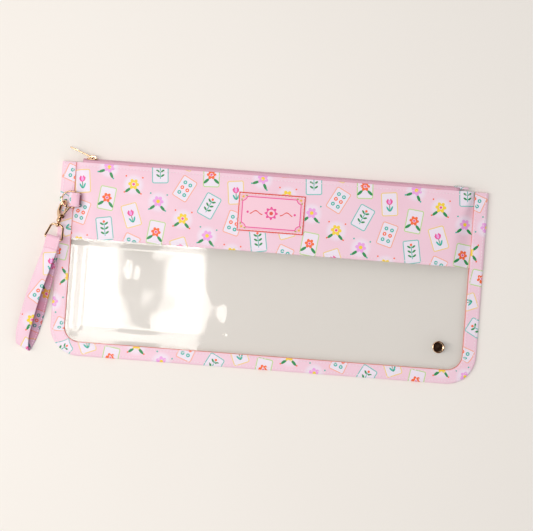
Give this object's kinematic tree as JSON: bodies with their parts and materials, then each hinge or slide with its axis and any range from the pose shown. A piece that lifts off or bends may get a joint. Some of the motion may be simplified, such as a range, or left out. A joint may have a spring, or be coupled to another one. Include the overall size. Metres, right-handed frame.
{
  "type": "zip pouch",
  "caption": "Flat zip pouch for game tiles with a clear window, printed band and binding, sewn label, and a wrist strap on a swivel clasp.",
  "frame": {"origin": "on the underside of the back window, below the middle of the pouch's length and height", "axes": "+X along the zip from its closed end to its open end, +Y from the bottom edge to the zip, +Z out of the front face"},
  "size_m": [0.4233, 0.1914, 0.0196],
  "materials": {
    "clear_vinyl": "clear glossy vinyl",
    "printed_vinyl": "printed soft vinyl, satin",
    "label_vinyl": "printed label, satin",
    "zip_tape": "woven dusty rose",
    "zip_teeth": "moulded, dusty rose",
    "polished_gold": "polished light gold plating"
  },
  "bodies": {
    "pouch": {"back_band": "printed_vinyl", "back_window": "clear_vinyl", "front_window": "clear_vinyl", "front_band": "printed_vinyl", "edge_binding": "printed_vinyl", "label_patch": "label_vinyl", "stud_cap": "polished_gold", "stud_washer": "polished_gold", "zipper_tape_front": "zip_tape", "zipper_tape_back": "zip_tape", "zipper_teeth_front": "zip_teeth", "zipper_teeth_back": "zip_teeth", "zipper_top_stop_front": "zip_teeth", "zipper_top_stop_back": "zip_teeth", "zipper_bottom_stop": "zip_teeth", "zipper_end_tab": "printed_vinyl", "tab_loop": "printed_vinyl"},
    "slider": {"zipper_slider": "polished_gold", "zipper_slider_back": "polished_gold"},
    "pull": {"zipper_pull": "polished_gold"},
    "ring": {"tab_ring": "polished_gold"},
    "clasp": {"clasp_body": "polished_gold", "clasp_gate_pin": "polished_gold", "clasp_gate_spring": "polished_gold"},
    "gate": {"clasp_gate": "polished_gold"},
    "eye": {"swivel_eye": "polished_gold", "swivel_post": "polished_gold"},
    "strap": {"wrist_strap": "printed_vinyl"}
  },
  "joints": [
    {"name": "slider_slide", "type": "slide", "parent": "pouch", "child": "slider", "axis": [1, 0, 0], "range_m": [0, 0.322]},
    {"name": "pull_swing", "type": "hinge", "parent": "slider", "child": "pull", "pos_m": [-0.169, 0.09234, 0.00623], "axis": [0, 0.2419, -0.9703], "range_deg": [-22, 156]},
    {"name": "ring_turn", "type": "hinge", "parent": "pouch", "child": "ring", "pos_m": [-0.1807, 0.0523, 0.0106], "axis": [0, 1, 0], "range_deg": [0, 45]},
    {"name": "clasp_turn", "type": "hinge", "parent": "ring", "child": "clasp", "pos_m": [-0.19142, 0.04696, 0.01116], "axis": [-0.7061, 0.7071, 0.037], "range_deg": [0, 20]},
    {"name": "gate_open", "type": "hinge", "parent": "clasp", "child": "gate", "pos_m": [-0.19215, 0.03674, 0.01466], "axis": [-0.7261, 0.2684, 0.633], "range_deg": [0, 18], "stiffness_Nm_per_rad": 0.004, "springref_deg": -20.05},
    {"name": "eye_swivel", "type": "hinge", "parent": "clasp", "child": "eye", "pos_m": [-0.19142, 0.04696, 0.01116], "axis": [-0.2047, -0.9633, 0.1736], "continuous": true},
    {"name": "strap_swing", "type": "hinge", "parent": "eye", "child": "strap", "pos_m": [-0.19806, 0.01575, 0.01679], "axis": [-0.9781, 0.2079, 0], "range_deg": [0, 35]}
  ]
}
